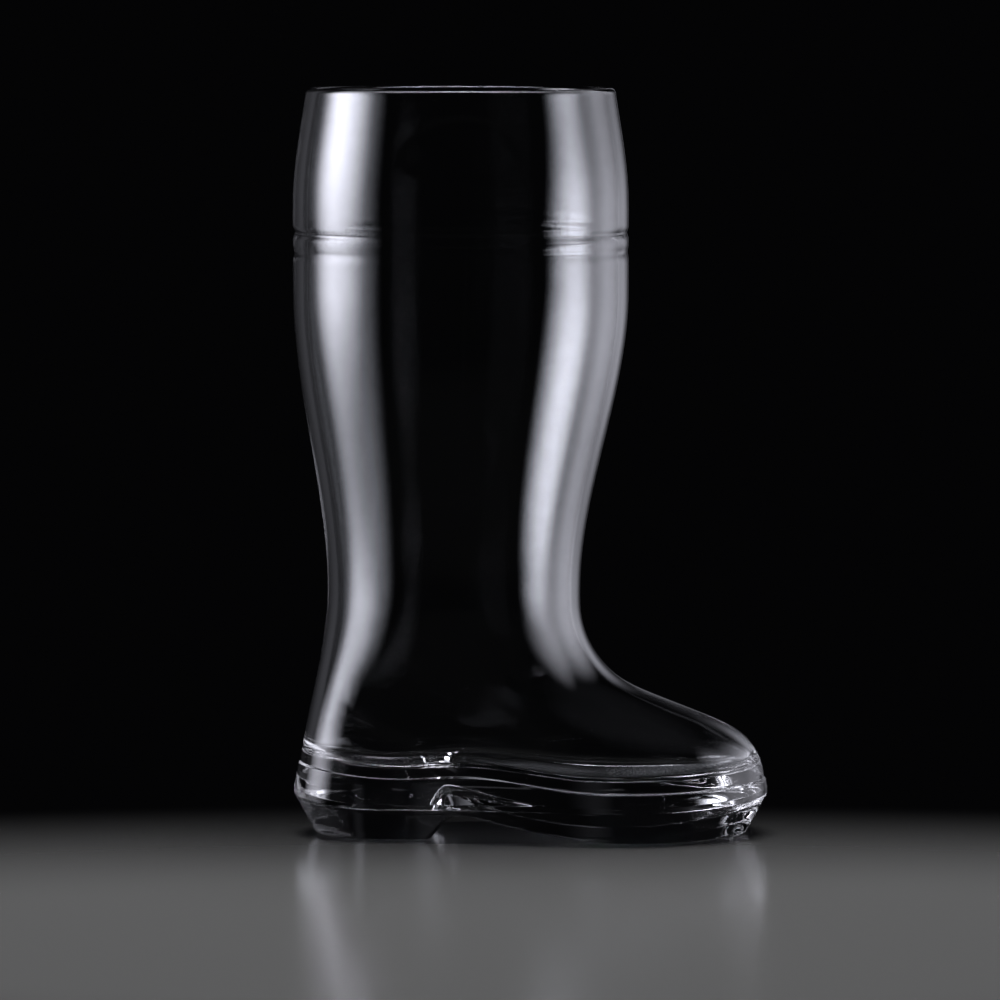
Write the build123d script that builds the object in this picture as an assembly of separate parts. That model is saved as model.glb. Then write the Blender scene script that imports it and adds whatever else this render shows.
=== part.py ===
"""Beer boot glass: a clear drinking boot in millimetres, toe to +X, standing on the floor at z = 0."""

import os
from math import cos, radians, sin, sqrt, tan

import numpy as np
from build123d import *

# Leg, from the ankle up to the rim
wall = 3.0
ankle_height = 74.0
ankle_radius = 38.0
ankle_setback = 2.1
leg_rise = 90.0
calf_radius = 50.4
calf_band = 26.0
cuff_rise = 35.0
rim_radius = 46.2
rim_lean = 8.5
lip_height = 3.0
lip_fullness = 0.43

# Two shallow grooves round the leg, under the cuff
groove_rise = 17.7
groove_depth = 0.5
groove_round = 1.8
lower_groove_drop = 5.7
lower_groove_depth = 0.3
lower_groove_round = 3.5

# Foot, with its reaches measured from the axis of the leg
heel_reach = 50.7
toe_reach = 92.9
ball_reach = 48.1
heel_lean = 6.8
instep_radius = 29.3
vamp_slope = 21.5
toe_radius = 18.7
toe_height = 16.1
floor_thickness = 2.2
floor_round = 8.0
floor_round_low = 15.6

# Welt, the line round the top of the sole, with its stations measured from the back of the heel
welt_heel = 22.6
welt_waist = 19.3
welt_arch = 20.2
welt_ball = 16.2
welt_toe = 17.3
welt_waist_reach = 33.5
welt_ball_start = 89.0
welt_ball_end = 121.0
welt_ledge = 0.4
welt_flare = 11.3

# Sole and heel
heel_radius = 26.0
sole_half_width = 36.8
edge_height = 13.0
edge_side_height = 10.5
edge_flat = 0.28
tread_end_inset = 7.1
tread_side_inset = 9.4
tread_bevel = 1.4

# Arch between heel and sole, with its stations measured from the back of the heel
breast_reach = 41.0
breast_pitch = 48.0
arch_reach = 51.0
arch_height = 8.3
shank_reach = 70.5
shank_height = 3.9
land_reach = 97.0
land_pitch = 4.0

# Room by which cutting shapes pass the glass
cut_margin = 5.0

# Stations that follow from the sizes above
calf_bottom = ankle_height + leg_rise
calf_top = calf_bottom + calf_band
height = calf_top + cuff_rise
groove_height = calf_bottom + groove_rise
rear_reach = max(calf_radius, heel_reach - edge_flat)
leg_axis = (rear_reach - toe_reach + edge_flat) / 2
heel_back = leg_axis - heel_reach
toe_tip = leg_axis + toe_reach
ball = leg_axis + ball_reach
arch_peak = heel_back + arch_reach
flare = tan(radians(welt_flare))
slope = radians(vamp_slope)
vamp_low = toe_height + toe_radius * cos(slope)


def ease(t):
    """Go from 0 to 1 with level ends."""
    t = np.clip(t, 0, 1)
    return t * t * (3 - 2 * t)


def hermite(t, first, first_rate, last, last_rate):
    """Cubic between two values with a set rate of change at each end."""
    level_curve = first + (last - first) * t * t * (3 - 2 * t)
    return level_curve + first_rate * t * (1 - t) ** 2 - last_rate * t * t * (1 - t)


def leg_radius(z):
    """Outer radius of the leg at a height above the ankle."""
    if z <= calf_top:
        return ankle_radius + (calf_radius - ankle_radius) * ease((z - ankle_height) / leg_rise)
    lean = -tan(radians(rim_lean)) * cuff_rise
    return hermite((z - calf_top) / cuff_rise, calf_radius, 0, rim_radius, lean)


def leg_centre(z):
    """Middle of the leg, which sets back a little towards the ankle."""
    return leg_axis - ankle_setback * (1 - ease((z - ankle_height) / leg_rise))


def foot_back(z):
    """Back of the foot: upright at the ankle, leaning out down to the heel."""
    lean = tan(radians(heel_lean))
    welt_back = heel_back + (welt_heel - edge_height) * flare + welt_ledge
    if z <= welt_heel:
        return welt_back - (welt_heel - z) * lean
    drop = ankle_height - welt_heel
    ankle_back = leg_centre(ankle_height) - ankle_radius
    return hermite((ankle_height - z) / drop, ankle_back, 0, welt_back, -lean * drop)


def foot_front(z, inset):
    """Front of the foot: toe arc, straight vamp and instep arc up to the ankle."""
    ankle_front = leg_centre(ankle_height) + ankle_radius
    toe_middle = toe_tip - (welt_toe - edge_height) * flare - welt_ledge - toe_radius
    toe_arc, instep_arc = toe_radius - inset, instep_radius + inset
    vamp_rise = (toe_middle + toe_radius * sin(slope) - ankle_front) * tan(slope)
    instep_middle = vamp_low + vamp_rise + instep_radius * tan(radians(90 - vamp_slope) / 2)
    if z <= toe_height + toe_arc * cos(slope):
        return toe_middle + sqrt(toe_arc**2 - max(z - toe_height, 0) ** 2)
    if z <= instep_middle - instep_arc * cos(slope):
        rise = z - toe_height - toe_arc * cos(slope)
        return toe_middle + toe_arc * sin(slope) - rise / tan(slope)
    return ankle_front + instep_radius - sqrt(instep_arc**2 - max(instep_middle - z, 0) ** 2)


def foot_width(z, welt_width):
    """Sideways size of the foot, carried up from the welt to the round ankle."""
    if z <= welt_heel:
        return welt_width + (welt_heel - z) * flare
    rise = ankle_height - welt_heel
    return hermite((z - welt_heel) / rise, welt_width, -flare * rise, ankle_radius, 0)


def even_spline(points, heading):
    """Smooth curve through evenly spaced points, level with X at both ends."""
    knots = list(np.linspace(0, 1, len(points)))
    return Edge.make_spline(points, tangents=[(heading, 0), (-heading, 0)], parameters=knots)


def outline(z, back, heel_arc, widest, half_width, front):
    """Level face: an arc at the heel, sides easing out to the widest station, an elliptical toe."""
    heel = back + heel_arc
    run, turn = np.linspace(0, 1, 40), np.linspace(np.pi / 2, 0, 40)
    x = np.append(widest + (heel - widest) * run, heel - heel_arc * np.cos(turn))
    y = np.append(half_width + (heel_arc - half_width) * ease(run), heel_arc * np.sin(turn))
    along = np.append(0, np.cumsum(np.hypot(np.diff(x), np.diff(y))))
    even = np.linspace(0, along[-1], 9)
    rear = list(zip(np.interp(even, along, x), np.interp(even, along, y)))
    rear += [(x, -y) for x, y in rear[-2::-1]]
    turn = np.linspace(-np.pi / 2, np.pi / 2, 13)
    toe = list(zip(widest + (front - widest) * np.cos(turn), half_width * np.sin(turn)))
    return Pos(0, 0, z) * make_face([even_spline(rear, -1), even_spline(toe, 1)])


def leg_level(z, inset):
    """Round outline of the leg at one height, drawn in by the wall for the hollow."""
    return Pos(leg_centre(z), 0, z) * Circle(leg_radius(z) - inset)


def foot_level(z, inset):
    """Outline of the foot at one height, drawn in by the wall for the hollow."""
    spread = ease((ankle_height - z) / (ankle_height - welt_heel)) ** 2
    widest = leg_centre(ankle_height) * (1 - spread) + ball * spread
    heel_arc = foot_width(z, heel_radius - (welt_heel - edge_side_height) * flare - welt_ledge)
    half_width = foot_width(z, sole_half_width - (welt_heel - edge_side_height) * flare - welt_ledge)
    back, front = foot_back(z) + inset, foot_front(z, inset)
    return outline(z, back, heel_arc - inset, widest, half_width - inset, front)


def sole_level(z, end_inset, side_inset):
    """Outline of the sole block, drawn in at its ends and at its sides."""
    arc = heel_radius - side_inset
    return outline(
        z, heel_back + end_inset, arc, ball, sole_half_width - side_inset, toe_tip - end_inset
    )


def steps(low, high, count):
    """Evenly spaced heights from one station up to just before the next."""
    return [low + (high - low) * i / count for i in range(count)]


def across(side_view):
    """Solid with one side view over the whole width of the boot."""
    return Pos(0, 2 * calf_radius, 0) * extrude(Plane.XZ * side_view, amount=4 * calf_radius)


def below_welt(lift):
    """Everything under the welt line, raised by a lift."""
    line = Spline(
        (heel_back - cut_margin, welt_heel + lift),
        (heel_back + welt_waist_reach, welt_waist + lift),
        (arch_peak, welt_arch + lift),
        (heel_back + welt_ball_start, welt_ball + lift),
        (heel_back + welt_ball_end, welt_ball + lift),
        (toe_tip + cut_margin, welt_toe + lift),
    )
    rear, front = (heel_back - cut_margin, -cut_margin), (toe_tip + cut_margin, -cut_margin)
    under = Polyline(line @ 1, front, rear, line @ 0)
    return across(make_face(line + under))


def band(low, high):
    """Everything between two heights."""
    return Pos(0, 0, (low + high) / 2) * Box(6 * calf_radius, 6 * calf_radius, high - low)


def groove(z, depth, round_radius):
    """Ring that presses one shallow groove into the calf."""
    return Pos(leg_axis, 0, z) * Torus(calf_radius - depth + round_radius, round_radius)


# Leg wall, from which the rim, the cuff and the leg are parted
leg_heights = steps(ankle_height, calf_bottom, 7) + steps(calf_bottom, calf_top, 2)
leg_heights += steps(calf_top, height, 5) + [height]
leg_wall = loft([leg_level(z, 0) for z in leg_heights])
leg_wall -= loft([leg_level(z, wall) for z in leg_heights])

# Rim: the top of the wall with its edge melted round
rim = leg_wall & band(height - lip_height, height + cut_margin)
rim = fillet(rim.faces().sort_by(Axis.Z)[-1].edges(), lip_fullness * wall)

# Cuff and leg, which meet in the bottom of the upper groove
grooves = groove(groove_height, groove_depth, groove_round)
grooves += groove(groove_height - lower_groove_drop, lower_groove_depth, lower_groove_round)
cuff = (leg_wall & band(groove_height, height - lip_height)) - grooves
leg = (leg_wall & band(ankle_height, groove_height)) - grooves

# Foot: the upper between ankle and welt, with a hollow whose floor runs parallel to the welt line
foot_heights = steps(edge_side_height, vamp_low, 6) + steps(vamp_low, ankle_height, 10)
foot_heights.append(ankle_height)
floor_top = floor_round_low + floor_round
turns = [radians(angle) for angle in range(0, 90, 20)]
hollow_levels = [
    foot_level(floor_top - floor_round * cos(turn), wall + floor_round * (1 - sin(turn)))
    for turn in turns
]
hollow_levels += [foot_level(z, wall) for z in foot_heights if z > floor_top]
hollow = loft(hollow_levels) - below_welt(floor_thickness)
foot = loft([foot_level(z, 0) for z in foot_heights]) - hollow - below_welt(0)

# Sole block: flared above its edge, undercut below it, with the arch cut across
tall = 2 * edge_height
end_rate, side_rate = tread_end_inset / edge_height, tread_side_inset / edge_side_height
undercut = loft(
    [
        sole_level(0, tread_end_inset + tread_bevel, tread_side_inset + tread_bevel),
        sole_level(
            tread_bevel,
            tread_end_inset - end_rate * tread_bevel,
            tread_side_inset - side_rate * tread_bevel,
        ),
        sole_level(tall, tread_end_inset - end_rate * tall, tread_side_inset - side_rate * tall),
    ],
    ruled=True,
)
flared = loft(
    [
        sole_level(0, -edge_height * flare, -edge_side_height * flare),
        sole_level(tall, (tall - edge_height) * flare, (tall - edge_side_height) * flare),
    ],
    ruled=True,
)
block = undercut & flared & extrude(sole_level(0, edge_flat, edge_flat), amount=tall)
block = block & below_welt(0)
breast_foot, land = (heel_back + breast_reach, 0), (heel_back + land_reach, 0)
peak, shank_point = (arch_peak, arch_height), (heel_back + shank_reach, shank_height)
breast = Spline(breast_foot, peak, tangents=[(1, tan(radians(breast_pitch))), (1, 0)])
shank = Spline(peak, shank_point, land, tangents=[(1, 0), (1, -tan(radians(land_pitch)))])
below = Polyline(land, (land[0], -cut_margin), (breast_foot[0], -cut_margin), breast_foot)
block -= across(make_face(breast + shank + below))

# Heel: the block behind the arch and under the sole's edge
behind = band(0, edge_side_height) & (Pos(arch_peak - 3 * calf_radius, 0, 0) * band(0, 2 * tall))
heel = block & behind
sole = block - behind

os.makedirs("parts", exist_ok=True)
export_step(rim, "parts/rim.step")
export_step(cuff, "parts/cuff.step")
export_step(leg, "parts/leg.step")
export_step(foot, "parts/foot.step")
export_step(sole, "parts/sole.step")
export_step(heel, "parts/heel.step")
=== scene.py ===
"""The looks of a mould-blown glass drinking boot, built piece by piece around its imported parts."""

from math import cos, pi, radians, sin, tan

import bmesh
import bpy
import numpy as np
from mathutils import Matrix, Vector


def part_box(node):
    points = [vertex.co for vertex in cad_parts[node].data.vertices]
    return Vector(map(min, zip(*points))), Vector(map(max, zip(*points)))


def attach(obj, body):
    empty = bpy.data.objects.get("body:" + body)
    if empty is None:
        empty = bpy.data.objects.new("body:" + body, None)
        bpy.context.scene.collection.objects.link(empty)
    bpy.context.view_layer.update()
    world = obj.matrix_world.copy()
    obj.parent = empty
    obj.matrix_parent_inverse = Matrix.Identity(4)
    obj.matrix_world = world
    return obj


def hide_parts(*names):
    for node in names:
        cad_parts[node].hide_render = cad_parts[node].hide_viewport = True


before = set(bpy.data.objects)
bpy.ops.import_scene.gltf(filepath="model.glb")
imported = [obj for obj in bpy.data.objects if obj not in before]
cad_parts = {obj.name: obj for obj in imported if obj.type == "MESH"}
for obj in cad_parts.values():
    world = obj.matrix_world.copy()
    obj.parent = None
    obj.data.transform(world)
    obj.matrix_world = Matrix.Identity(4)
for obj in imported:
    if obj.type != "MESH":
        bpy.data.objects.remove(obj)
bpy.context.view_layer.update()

# Heel: the solid block under the back of the sole, where the boot stands on its rear half.
# Clear soda-lime glass, left thick in the mould, with a tread edge that the mould rounds.
# It is one melt with the sole, so the face between the two is fused and doesn't show.
mm = 0.001
columns = 192
sole_low, sole_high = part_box("sole")
edge_flat = 0.28 * mm
upper_crease, lower_crease = 0.03 * mm, 0.08 * mm
heel_back = sole_low.x - edge_flat
toe_tip = sole_high.x + edge_flat
sole_half_width = sole_high.y + edge_flat
heel_radius = 26.0 * mm
leg_axis = heel_back + 50.7 * mm
ball = leg_axis + 48.1 * mm
edge_height = 13.0 * mm
edge_side_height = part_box("heel")[1].z
edge_flare = tan(radians(11.3))
tread_end_inset = 7.1 * mm
tread_side_inset = 9.4 * mm
tread_round = 1.8 * mm
tread_rise = 0.8 * tread_round
breast = heel_back + 41.0 * mm
breast_rise = tan(radians(48))
arch_peak = heel_back + 51.0 * mm
arch_height = 8.3 * mm
shank = heel_back + 70.5 * mm
shank_height = 3.9 * mm
shank_fall = -0.2
land = heel_back + 97.0 * mm
land_fall = -tan(radians(4))
outline_melt = 0.016
arch_melt = 0.6 * mm
heel_top_drop = 0.5 * mm


def ease(t):
    """Go from 0 to 1 with level ends."""
    t = np.clip(t, 0, 1)
    return t * t * (3 - 2 * t)


def bend(x, start, first, first_slope, end, last, last_slope):
    """Cubic between two stations with a set height and slope at each."""
    run = end - start
    t = np.clip((x - start) / run, 0, 1)
    lift = first_slope * run * t * (1 - t) ** 2 - last_slope * run * t * t * (1 - t)
    return first + (last - first) * t * t * (3 - 2 * t) + lift


def soft(profile, place, reach):
    """A profile with its corners melted over a short reach."""
    shifts = np.linspace(-2, 2, 17)
    weights = np.exp(-shifts * shifts / 2)
    return sum(w * profile(place + s * reach) for s, w in zip(shifts, weights)) / weights.sum()


def widest_line(way):
    """Half the widest line by the way along it from the heel, mirrored past both of its ends."""
    turn, run = np.linspace(0, pi / 2, 90), np.linspace(0, 1, 90)
    heel = heel_back + heel_radius
    behind, ahead = heel - heel_radius * np.cos(turn), ball + (toe_tip - ball) * np.sin(turn)
    x = [behind, heel + (ball - heel) * run, ahead]
    side = heel_radius + (sole_half_width - heel_radius) * ease(run)
    y = [heel_radius * np.sin(turn), side, sole_half_width * np.cos(turn)]
    x, y = np.concatenate(x), np.concatenate(y)
    along = np.append(0, np.cumsum(np.hypot(np.diff(x), np.diff(y))))
    along /= along[-1]
    inside = 1 - np.abs(1 - np.abs(way))
    mirrored = np.where((way < 0) | (way > 1), -1, 1)
    return np.array([np.interp(inside, along, x), np.interp(inside, along, y) * mirrored])


def arch(x):
    """Height of the underside: flat under the heel and the ball, lifted between them."""
    rise = bend(x, breast, 0, breast_rise, arch_peak, arch_height, 0)
    fall = bend(x, arch_peak, arch_height, 0, shank, shank_height, shank_fall)
    end = bend(x, shank, shank_height, shank_fall, land, 0, land_fall)
    return np.where(x < arch_peak, rise, np.where(x < shank, fall, end)) * (x > breast)


edge_x, edge_y = soft(widest_line, np.linspace(0, 1, columns + 1), outline_melt)
edge_x = np.interp(edge_x, (edge_x[0], edge_x[-1]), (heel_back, toe_tip))
edge_y *= sole_half_width / edge_y.max()
out_x, out_y = -np.gradient(edge_y, edge_order=2), np.gradient(edge_x, edge_order=2)
out_y[[0, -1]] = 0
out_x, out_y = out_x / np.hypot(out_x, out_y), out_y / np.hypot(out_x, out_y)
edge_z = edge_side_height + (edge_height - edge_side_height) * out_x**2
tread_inset = tread_side_inset + (tread_end_inset - tread_side_inset) * out_x**2
underside = soft(arch, edge_x - out_x * tread_inset, arch_melt)


def greater(first, second, rounding):
    """The greater of two draws, with the corner between them rounded."""
    return (first + second + np.hypot(first - second, rounding)) / 2


def block_draw(z):
    """How far the side of the block is drawn in: undercut, then flat at the edge, then flared."""
    flared, undercut = edge_flare * (z - edge_z), tread_inset * (1 - z / edge_z)
    return greater(greater(undercut, edge_flat, lower_crease), flared, upper_crease)


def block_row(z, draw):
    """Half a line round the block at a height, drawn in from its edge."""
    return np.stack([edge_x - out_x * draw, edge_y - out_y * draw, z + 0 * edge_x], axis=1)


def across(row, count=40):
    """Level sheet from one half line to the middle of the boot."""
    share = np.linspace(1, 0, count + 1)[None, :, None]
    scale = np.concatenate([1 + 0 * share, share, 1 + 0 * share], axis=2)
    return row[:, None, :] * scale


corner = block_draw(underside)
wall_foot = underside + tread_rise
undercut_rows = []
for b in np.linspace(0, 1, 9):
    turned = (1 - b) ** 2 * (corner + tread_round) + 2 * b * (1 - b) * corner
    draw = turned + b * b * block_draw(wall_foot)
    undercut_rows.append(block_row(underside + b * b * tread_rise, draw))
heel_top = np.minimum(edge_side_height, edge_z - heel_top_drop)
for b in np.linspace(0, 1, 11)[1:]:
    z = wall_foot + (heel_top - wall_foot) * b
    undercut_rows.append(block_row(z, block_draw(z)))
undercut_rows = np.array(undercut_rows)
heel_end = int(np.searchsorted(edge_x, arch_peak)) + 1


class Shade:
    """One output of a shader node, so that node maths reads as plain sums."""

    def __init__(self, tree, socket=None):
        self.tree, self.socket = tree, socket

    def add(self, kind, settings=(), inputs=(), out=0):
        """Any node, with its settings and then the values or links of its sockets."""
        node = self.tree.nodes.new(kind)
        for name, setting in dict(settings).items():
            setattr(node, name, setting)
        for name, given in dict(inputs).items():
            if isinstance(given, Shade):
                self.tree.links.new(given.socket, node.inputs[name])
            else:
                node.inputs[name].default_value = given
        return Shade(self.tree, node.outputs[out])

    def math(self, operation, first, second):
        return self.add("ShaderNodeMath", {"operation": operation}, {0: first, 1: second})

    def __add__(self, other):
        return self.math("ADD", self, other)

    def __sub__(self, other):
        return self.math("SUBTRACT", self, other)

    def __rsub__(self, other):
        return self.math("SUBTRACT", other, self)

    def __mul__(self, other):
        return self.math("MULTIPLY", self, other)

    def band(self, low, high):
        """0 under the low value, 1 over the high one, smooth between."""
        return self.add(
            "ShaderNodeMapRange",
            {"interpolation_type": "SMOOTHSTEP"},
            {"Value": self, "From Min": low, "From Max": high},
        )

    __radd__, __rmul__ = __add__, __mul__


def clear_glass():
    """Blown soda-lime glass: bright, a little wavy, faintly smudged, scuffed where it stands."""
    material = bpy.data.materials.new("clear_glass")
    material.use_nodes = True
    tree = material.node_tree
    start = Shade(tree)
    place = start.add("ShaderNodeTexCoord", out="Object")
    height = start.add("ShaderNodeSeparateXYZ", inputs={0: place}, out=2)
    drawn = start.add("ShaderNodeVectorMath", {"operation": "MULTIPLY"}, {0: place, 1: (1, 1, 0.3)})
    waves = start.add("ShaderNodeTexNoise", inputs={"Vector": drawn, "Scale": 32, "Detail": 1.5})
    cords = start.add("ShaderNodeTexNoise", inputs={"Vector": drawn, "Scale": 120, "Detail": 2})
    smeared = {"Vector": place, "Scale": 55, "Detail": 6, "Distortion": 1.2}
    smears = start.add("ShaderNodeTexNoise", inputs=smeared)
    grit = start.add("ShaderNodeTexNoise", inputs={"Vector": place, "Scale": 900, "Detail": 3})
    scuffed = (1 - height.band(0.1 * mm, 0.8 * mm)) * grit.band(0.42, 0.62)
    smudged = smears.band(0.55, 0.75)
    shader = tree.nodes["Principled BSDF"]
    shader.inputs["Transmission Weight"].default_value = 1
    shader.inputs["IOR"].default_value = 1.52
    tint = start.add(
        "ShaderNodeMix",
        {"data_type": "RGBA"},
        {0: waves, 6: (0.985, 0.993, 0.995, 1), 7: (0.972, 0.986, 0.984, 1)},
        out=2,
    )
    unevenness = {"Strength": 1, "Distance": 0.12 * mm, "Height": waves + cords * 0.12}
    bump = start.add("ShaderNodeBump", inputs=unevenness)
    roughness = smudged * 0.012 + scuffed * 0.3
    for name, source in (("Base Color", tint), ("Roughness", roughness), ("Normal", bump)):
        tree.links.new(source.socket, shader.inputs[name])
    return material


def fused_glass():
    """The face between two pieces of one melt, which lets light straight through."""
    material = bpy.data.materials.new("fused_glass")
    material.use_nodes = True
    material.node_tree.nodes["Principled BSDF"].inputs["Alpha"].default_value = 0
    return material


glass, fused = clear_glass(), fused_glass()
pieces = []


def blow(node, skin, joints):
    """One glass piece from half sheets of skin and of fused face, mirrored and closed."""
    bm = bmesh.new()
    for slot, sheets in enumerate((skin, joints)):
        for sheet in sheets:
            for side in (1, -1):
                grid = [[bm.verts.new((x, side * y, z)) for x, y, z in line] for line in sheet]
                for near, far in zip(grid, grid[1:]):
                    for corners in zip(near, near[1:], far[1:], far):
                        bm.faces.new(corners).material_index = slot
    bmesh.ops.remove_doubles(bm, verts=bm.verts, dist=1e-6)
    bmesh.ops.recalc_face_normals(bm, faces=bm.faces)
    mesh = bpy.data.meshes.new(node + "_glass")
    bm.to_mesh(mesh)
    bm.free()
    mesh.materials.append(glass)
    mesh.materials.append(fused)
    piece = bpy.data.objects.new(node + "_glass", mesh)
    bpy.context.collection.objects.link(piece)
    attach(piece, "root")
    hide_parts(node)
    pieces.append(piece)


heel_rows = undercut_rows[:, : heel_end + 1]
heel_seat = across(heel_rows[-1])
heel_front = across(heel_rows[:, -1])
blow("heel", [heel_rows, across(heel_rows[0])], [heel_seat, heel_front])

# Sole: the thick solid slab under the foot, with an edge round its widest line and an arch at its waist.
# The same clear glass, up to 22 mm deep, so that it bends light like a lens.
# It is fused to the heel below and to the foot above, along the welt line.
edge_band = edge_flat / edge_flare
welt_ledge = 0.4 * mm
welt_rise = 6.0 * mm
welt_melt = 3.0 * mm
welt_reaches = np.array([-5.0, 33.5, 51.0, 89.0, 121.0, 148.0]) * mm
welt_heights = np.array([22.6, 19.3, 20.2, 16.2, 16.2, 17.3]) * mm


def welt(x):
    """Height of the welt line along the boot."""
    stations = heel_back + welt_reaches
    slopes = np.gradient(welt_heights, stations)
    height = welt_heights[0] + 0 * x
    for i in range(len(stations) - 1):
        start, end = ((stations[k], welt_heights[k], slopes[k]) for k in (i, i + 1))
        height = np.where(x >= stations[i], bend(x, *start, *end), height)
    return height


welt_z = soft(welt, edge_x - out_x * edge_flare * welt_rise, welt_melt)
edge_levels = [heel_top + (edge_z - heel_top) * sin(b * pi / 2) for b in np.linspace(0, 1, 15)]
edge_levels += [edge_z + edge_band * b for b in np.linspace(0.5, 1.5, 15)]
side_low, side_high = edge_levels[-1], welt_z - welt_ledge
edge_levels += [side_low + (side_high - side_low) * b for b in np.linspace(0, 1, 9)[1:]]
edge_rows = [block_row(z, block_draw(z)) for z in edge_levels]
for b in np.linspace(0, 1, 9)[1:]:
    z = side_high + 2 * welt_ledge * b
    edge_rows.append(block_row(z, block_draw(z) + welt_ledge * ease(b)))
edge_rows = np.array(edge_rows)
sole_seat = across(edge_rows[-1])
waist = undercut_rows[:, heel_end:]
blow("sole", [waist, edge_rows, across(waist[0])], [heel_seat, heel_front, sole_seat])

# Foot: the hollow upper from the welt to the ankle, with heel counter, instep, vamp and round toe.
# Blown glass, 3 mm in the walls, with a thin floor on the sole that follows the welt line.
# The toe and the vamp are one smooth sweep, and the ankle runs on into the leg.
wall = 3.0 * mm
ankle_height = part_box("foot")[1].z
ankle_radius = 38.0 * mm
ankle_setback = 2.1 * mm
leg_rise = 90.0 * mm
calf_radius = 50.4 * mm
calf_band = 26.0 * mm
rim_low, rim_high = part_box("rim")
rim_radius = 46.2 * mm
rim_lean = -tan(radians(8.5))
heel_lean = tan(radians(6.8))
instep_radius = 29.3 * mm
vamp = radians(21.5)
toe_radius = 18.7 * mm
toe_height = 16.1 * mm
welt_heel = welt_heights[0]
floor_thickness = 2.2 * mm
floor_round = 6.0 * mm
floor_melt = 4.0 * mm
melt = 2.0 * mm
fitted_share = 0.3
calf_top = ankle_height + leg_rise + calf_band


def leg_radius(z):
    """Radius of the leg: full at the calf, narrow at the ankle, drawn in at the rim."""
    calf = ankle_radius + (calf_radius - ankle_radius) * ease((z - ankle_height) / leg_rise)
    cuff = bend(z, calf_top, calf_radius, 0, rim_high.z, rim_radius, rim_lean)
    return np.where(z < calf_top, calf, cuff)


def leg_middle(z):
    """Middle of the leg, which sets back a little towards the ankle."""
    return leg_axis - ankle_setback * (1 - ease((z - ankle_height) / leg_rise))


def back_line(z):
    """Back of the boot: straight up the leg, leaning out down to the heel."""
    low = heel_back + (welt_heel - edge_height) * edge_flare + welt_ledge
    high = leg_axis - ankle_setback - ankle_radius
    counter = bend(z, welt_heel, low, heel_lean, ankle_height, high, 0)
    foot = np.where(z < welt_heel, low - (welt_heel - z) * heel_lean, counter)
    return np.where(z < ankle_height, foot, leg_middle(z) - leg_radius(z))


def front_line(z, inset):
    """Front of the boot: toe arc, straight vamp, instep arc, then up the leg."""
    ankle_front = leg_axis - ankle_setback + ankle_radius
    toe_middle = toe_tip - (welt_heights[-1] - edge_height) * edge_flare - welt_ledge - toe_radius
    toe_arc, instep_arc = toe_radius - inset, instep_radius + inset
    vamp_low = toe_height + toe_radius * cos(vamp)
    vamp_rise = (toe_middle + toe_radius * sin(vamp) - ankle_front) * tan(vamp)
    instep_middle = vamp_low + vamp_rise + instep_radius * tan((pi / 2 - vamp) / 2)
    drop = np.maximum(instep_middle - z, 0)
    instep = ankle_front + instep_radius - np.sqrt(np.maximum(instep_arc**2 - drop**2, 0))
    rise = z - toe_height - toe_arc * cos(vamp)
    slope = toe_middle + toe_arc * sin(vamp) - rise / tan(vamp)
    toe = toe_middle + np.sqrt(np.maximum(toe_arc**2 - np.maximum(z - toe_height, 0) ** 2, 0))
    foot = np.where(rise < 0, toe, np.where(z < instep_middle - instep_arc * cos(vamp), slope, instep))
    return np.where(z < ankle_height, foot, leg_middle(z) + leg_radius(z) - inset)


def half_width(z):
    """Half the breadth: carried up from the welt to the round ankle and leg."""
    low = sole_half_width - (welt_heel - edge_side_height) * edge_flare - welt_ledge
    rise = bend(z, welt_heel, low, -edge_flare, ankle_height, ankle_radius, 0)
    foot = np.where(z < welt_heel, low + (welt_heel - z) * edge_flare, rise)
    return np.where(z < ankle_height, foot, leg_radius(z))


def footing(z):
    """How far a level has the outline of the sole: not at all at the round ankle, wholly at the welt."""
    return ease((ankle_height - z) / (ankle_height - welt_heel)) ** 3


def upper_row(z, inset):
    """Half a line round the upper or the leg, drawn in from the outside."""
    z = z + np.zeros(columns + 1)
    turn = np.linspace(0, pi, columns + 1)
    back = soft(back_line, z, melt) + inset
    front = soft(lambda level: front_line(level, inset), z, melt)
    breadth = soft(half_width, z, melt) - inset
    spread = soft(footing, z, melt)
    along = (edge_x - heel_back) / (toe_tip - heel_back) * spread + (1 - np.cos(turn)) / 2 * (1 - spread)
    aside = edge_y / sole_half_width * spread + np.sin(turn) * (1 - spread)
    aside[[0, -1]] = 0
    return np.stack([back + (front - back) * along, breadth * aside, z], axis=1)


welt_row = edge_rows[-1]
seat_z = welt_row[:, 2]
foot_out = []
for share in np.linspace(0, 1, 73):
    row = upper_row(seat_z + (ankle_height - seat_z) * share, 0)
    if share == 0:
        misfit = welt_row - row
    foot_out.append(row + misfit * (1 - ease(share / fitted_share)))
foot_in, floor_x = [], edge_x
for pass_number in range(4):
    floor_z = soft(welt, floor_x, floor_melt) + floor_thickness
    floor_x = upper_row(floor_z, wall + floor_round)[:, 0]
for turn in np.linspace(0, pi / 2, 13):
    inset = wall + floor_round * (1 - sin(turn))
    foot_in.append(upper_row(floor_z + floor_round * (1 - cos(turn)), inset))
for share in np.linspace(0, 1, 61)[1:]:
    low = floor_z + floor_round
    foot_in.append(upper_row(low + (ankle_height - low) * share, wall))
ankle_joint = np.array([foot_out[-1], foot_in[-1]])
blow("foot", [np.array(foot_out), np.array(foot_in), across(foot_in[0])], [sole_seat, ankle_joint])

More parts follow.
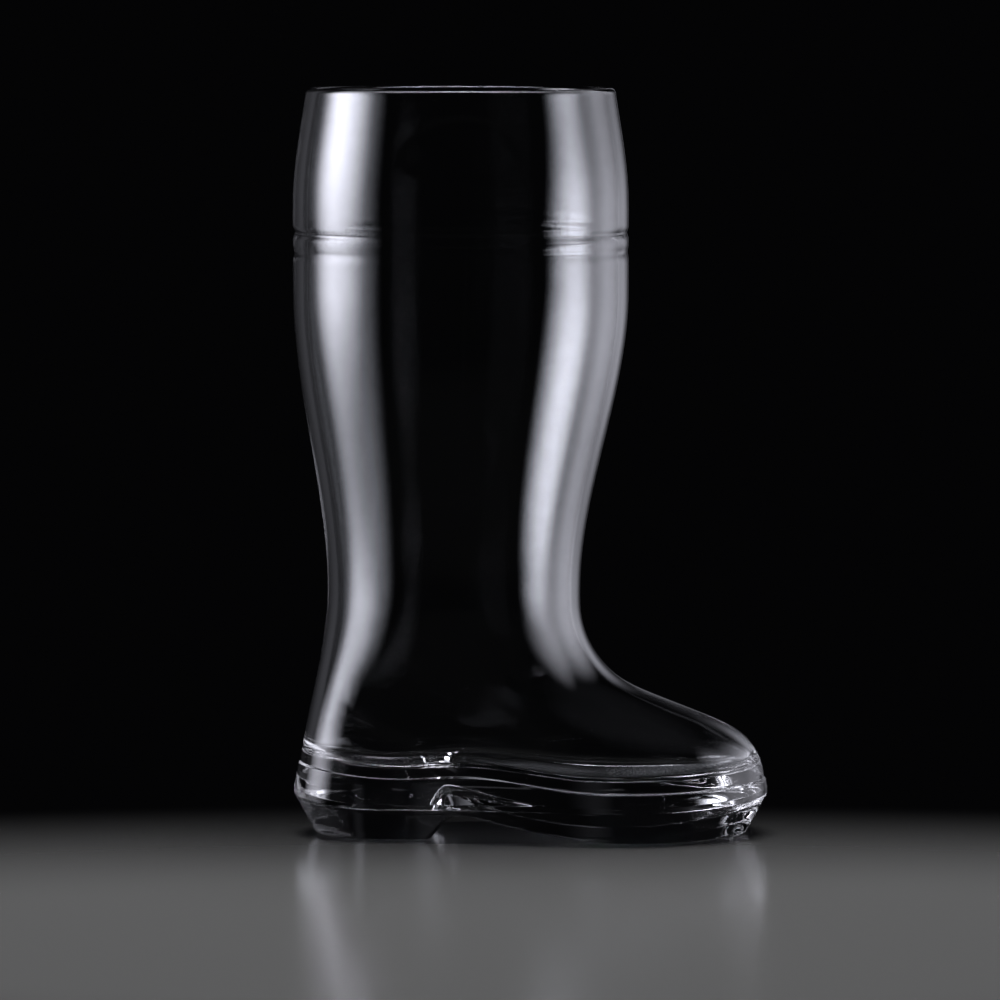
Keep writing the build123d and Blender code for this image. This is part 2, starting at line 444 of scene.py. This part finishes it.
# Leg: the round shaft from the ankle to the groove under the cuff.
# Blown glass of even wall, with two shallow grooves pressed round the calf by the mould.
# It is fused to the foot at the ankle and to the cuff in the bottom of the upper groove.
groove_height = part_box("leg")[1].z
grooves = ((0, 0.55 * mm, 1.1 * mm), (-5.7 * mm, 0.35 * mm, 1.5 * mm))
groove_inside = 0.45
grooved = groove_height - 10.0 * mm
calf_step, groove_step = 1.6 * mm, 0.3 * mm


def groove(z):
    """Depth of the pressed grooves at a height."""
    above = z - groove_height
    return sum(depth * np.exp(-(((above - drop) / width) ** 2)) for drop, depth, width in grooves)


def shaft(low, high, step):
    """Outer and inner skin of the leg between two heights."""
    levels = np.linspace(low, high, int((high - low) / step) + 2)
    outside = [upper_row(z, groove(z)) for z in levels]
    inside = [upper_row(z, wall + groove_inside * groove(z)) for z in levels]
    return np.array(outside), np.array(inside)


calf_out, calf_in = shaft(ankle_height, grooved, calf_step)
band_out, band_in = shaft(grooved, groove_height, groove_step)
groove_joint = np.array([band_out[-1], band_in[-1]])
blow("leg", [calf_out, calf_in, band_out, band_in], [ankle_joint, groove_joint])

# Cuff: the collar between the upper groove and the rim, drawn in a little towards the mouth.
# The same blown wall, with the top of the groove round its foot.
# It is fused to the leg below and to the rim above.
ungrooved = groove_height + 4.0 * mm
collar_step = 1.4 * mm
foot_band = shaft(groove_height, ungrooved, groove_step)
collar = shaft(ungrooved, rim_low.z, collar_step)
rim_joint = np.array([collar[0][-1], collar[1][-1]])
blow("cuff", [*foot_band, *collar], [groove_joint, rim_joint])

# Rim: the lip of the mouth, as thick as the wall.
# The cut edge of the blown wall, melted round in a flame.
# It is the same glass as the cuff that it tops.
lip = []
lip_foot = rim_high.z - wall / 2
for share in np.linspace(0, 1, 4)[:-1]:
    lip.append(upper_row(rim_low.z + (lip_foot - rim_low.z) * share, 0))
for turn in np.linspace(0, pi, 21):
    lip.append(upper_row(lip_foot + wall / 2 * sin(turn), wall / 2 * (1 - cos(turn))))
for share in np.linspace(1, 0, 4)[1:]:
    lip.append(upper_row(rim_low.z + (lip_foot - rim_low.z) * share, wall))
blow("rim", [np.array(lip)], [rim_joint])

# Skin: one melt has no seams, so pieces that meet share their surface directions along the joint.
# Each corner of the skin takes the mean direction of all the skin faces that touch there.
# Fused faces keep their own direction and take no part.
corners, faces, skins = [], [], []
for piece in pieces:
    mesh = piece.data
    points = np.array([v.co for v in mesh.vertices])
    loops = np.array([loop.vertex_index for loop in mesh.loops])
    face_of_loop = np.repeat(np.arange(len(mesh.polygons)), [p.loop_total for p in mesh.polygons])
    corners.append(points[loops])
    faces.append(np.array([p.normal * p.area for p in mesh.polygons])[face_of_loop])
    skins.append(np.array([p.material_index == 0 for p in mesh.polygons])[face_of_loop])
keys = np.round(np.concatenate(corners) / (0.002 * mm)).astype(np.int64)
shared = np.unique(keys, axis=0, return_inverse=True)[1].ravel()
total = np.zeros((shared.max() + 1, 3))
np.add.at(total, shared, np.concatenate(faces) * np.concatenate(skins)[:, None])
start = 0
for piece, own, skin in zip(pieces, faces, skins):
    melted = total[shared[start : start + len(own)]]
    directions = np.where(skin[:, None], melted, own)
    directions /= np.linalg.norm(directions, axis=1)[:, None] + 1e-20
    piece.data.shade_smooth()
    piece.data.normals_split_custom_set(directions.tolist())
    start += len(own)

# Floor: a plain pale board that the boot stands on, a little glossy, so that it mirrors the boot softly.
# It ends close behind the boot and fades at its borders, so that clear glass stands against the dark.
# Its colour is painted dark where it is seen in a mirror, a painted dark reflection in the glass, and stays
# pale where it is seen directly or straight through the glass.
board_reach = (0.5, 0.3, 1)
board_middle = Vector((0, -0.22, 0))
board_gap = 0.02 * mm
fade_start, fade_end = 0.35, 0.98
# The second colour is a painted dark shade that the board shows only in reflections.
pale, painted_mirror_dark = (0.62, 0.62, 0.63, 1), (0.04, 0.04, 0.04, 1)
bm = bmesh.new()
bmesh.ops.create_circle(bm, cap_ends=True, segments=128, radius=1)
bmesh.ops.scale(bm, vec=board_reach, verts=bm.verts)
floor_mesh = bpy.data.meshes.new("floor")
bm.to_mesh(floor_mesh)
bm.free()
floor = bpy.data.objects.new("floor", floor_mesh)
floor.location = board_middle - Vector((0, 0, board_gap))
bpy.context.collection.objects.link(floor)
board = bpy.data.materials.new("pale_board")
board.use_nodes = True
top = board.node_tree
top_start = Shade(top)
on_board = top_start.add("ShaderNodeTexCoord", out="Object")
share = top_start.add("ShaderNodeVectorMath", {"operation": "DIVIDE"}, {0: on_board, 1: board_reach})
outwards = top_start.add("ShaderNodeVectorMath", {"operation": "LENGTH"}, {0: share}, out=1)
bare = outwards.band(fade_start, fade_end)
top_shader = top.nodes["Principled BSDF"]
# Painted reflection: after a mirror bounce the board takes a painted dark shade in place of its pale
# colour.
mirrored = top_start.add("ShaderNodeLightPath", out="Glossy Depth").band(0, 1)
pale_or_painted_mirror_dark = top_start.add("ShaderNodeMix", {"data_type": "RGBA"}, {0: mirrored, 6: pale, 7: painted_mirror_dark}, out=2)
top.links.new(pale_or_painted_mirror_dark.socket, top_shader.inputs["Base Color"])
top_shader.inputs["Roughness"].default_value = 0.2
top_shader.inputs["Specular IOR Level"].default_value = 0.15
clear = top_start.add("ShaderNodeBsdfTransparent")
solid = Shade(top, top_shader.outputs[0])
faded = top_start.add("ShaderNodeMixShader", inputs={0: bare, 1: solid, 2: clear})
top.links.new(faded.socket, top.nodes["Material Output"].inputs[0])
floor_mesh.materials.append(board)

# Light: upright soft boxes in a dark room, each brightest in its middle, that light the glass alone.
# The left one is the brightest and hangs high. Weaker ones stand at the right, and faint ones further back.
# A long strip overhead draws the lip and the edges of the sole, and a round lamp lights the floor.
dark = (0.0012, 0.0012, 0.0014, 1)
world = bpy.data.worlds.new("dark_room")
world.use_nodes = True
world.node_tree.nodes["Background"].inputs["Color"].default_value = dark
bpy.context.scene.world = world
light_distance = 0.9
cool_white = (0.88, 0.88, 1.0, 1)
seen_through = 0.03
echoed = 0.12
whole_boot = bpy.data.collections.new("whole_boot")
edged_pieces = bpy.data.collections.new("edged_pieces")
for piece in pieces:
    whole_boot.objects.link(piece)
    if piece.name in ("rim_glass", "sole_glass"):
        edged_pieces.objects.link(piece)


def soft_box(name, azimuth, spread, middle, reach, glow, elevation=0, shows_on=whole_boot):
    """One soft light that faces the boot. Azimuth 0 is behind the camera, 90 to its right.

    Spread is half the angle that it fills, middle its height in metres and reach half its length.
    It is far fainter where it is seen through the glass or mirrored again between its walls.
    """
    light = bpy.data.lights.new(name, "AREA")
    width, tall = 2 * light_distance * tan(radians(spread)), 2 * reach
    light.shape, light.size, light.size_y = "RECTANGLE", width, tall
    light.energy = glow * pi * width * tall
    light.use_nodes = True
    tree = light.node_tree
    begin = Shade(tree)
    on_face = begin.add("ShaderNodeNewGeometry", out="Parametric")
    middle_share = {0: on_face, 1: (0.5, 0.5, 0)}
    outwards = begin.add("ShaderNodeVectorMath", {"operation": "DISTANCE"}, middle_share, out=1)
    mirrors = begin.add("ShaderNodeLightPath", out="Glossy Depth")
    walls = begin.add("ShaderNodeLightPath", out="Transmission Depth")
    echo = mirrors.band(1, 2) * walls.band(2, 4) * (1 - echoed)
    seen = seen_through + (1 - seen_through) * mirrors.band(0, 1) * (1 - echo)
    white = begin.add(
        "ShaderNodeMix",
        {"data_type": "RGBA"},
        {0: (1 - outwards.band(0, 0.5)) * seen, 6: (0, 0, 0, 1), 7: cool_white},
        out=2,
    )
    tree.links.new(white.socket, tree.nodes["Emission"].inputs["Color"])
    box = bpy.data.objects.new(name, light)
    level, rise = cos(radians(elevation)), sin(radians(elevation))
    away = Vector((level * sin(radians(azimuth)), -level * cos(radians(azimuth)), rise))
    box.location = Vector((leg_axis, 0, middle)) + away * light_distance
    box.rotation_euler = away.to_track_quat("Z", "Y").to_euler()
    box.visible_camera = False
    box.light_linking.receiver_collection = shows_on
    bpy.context.collection.objects.link(box)


soft_box("left_soft_box", -94, 29, 0.42, 0.75, 9.4)
soft_box("right_soft_box", 86, 23, 0.05, 0.9, 1.9)
soft_box("right_back_glow", 113, 35, 0.05, 0.75, 1.7)
soft_box("right_far_glow", 152, 17, 0.1, 0.4, 0.35)
soft_box("left_back_glow", -142, 30, 0.2, 0.9, 0.05)
soft_box("contour_glow", 172, 4, 0.5, 0.9, 0.3)
soft_box("top_strip", 0, 53, 0.4, 0.5, 11, 90, edged_pieces)

lamp_radius, lamp_height, lamp_glow = 0.6, 1.3, 1.5
board_lamp = bpy.data.objects.new("board_lamp", bpy.data.lights.new("board_lamp", "AREA"))
board_lamp.data.shape, board_lamp.data.size = "DISK", 2 * lamp_radius
board_lamp.data.energy = lamp_glow * pi * pi * lamp_radius**2
board_lamp.location = (0, 0, lamp_height)
board_lamp.visible_camera = board_lamp.visible_glossy = board_lamp.visible_transmission = False
bpy.context.collection.objects.link(board_lamp)

# Camera: a long lens two metres off, square to the side of the boot.
# It stands a little higher than the rim, so that the mouth is a thin oval.
# Light goes through many walls of glass before it reaches the lens, so its path may be long.
camera = bpy.data.objects.new("camera", bpy.data.cameras.new("camera"))
bpy.context.collection.objects.link(camera)
bpy.context.scene.camera = camera
across_middle = -9.3 * mm
target_height, lens_height, lens_distance = 101.0 * mm, 259.0 * mm, 1.970
target = Vector((across_middle, 0, target_height))
camera.location = Vector((across_middle, -lens_distance, lens_height))
camera.rotation_euler = (camera.location - target).to_track_quat("Z", "Y").to_euler()
frame_width = 301.3 * mm
camera.data.lens = camera.data.sensor_width * (camera.location - target).length / frame_width
camera.data.clip_start, camera.data.clip_end = 0.05, 20
bpy.context.scene.view_settings.view_transform = "Standard"
bpy.context.scene.cycles.max_bounces = 32
bpy.context.scene.cycles.transmission_bounces = 28
bpy.context.scene.cycles.glossy_bounces = 16
bpy.context.scene.cycles.transparent_max_bounces = 64
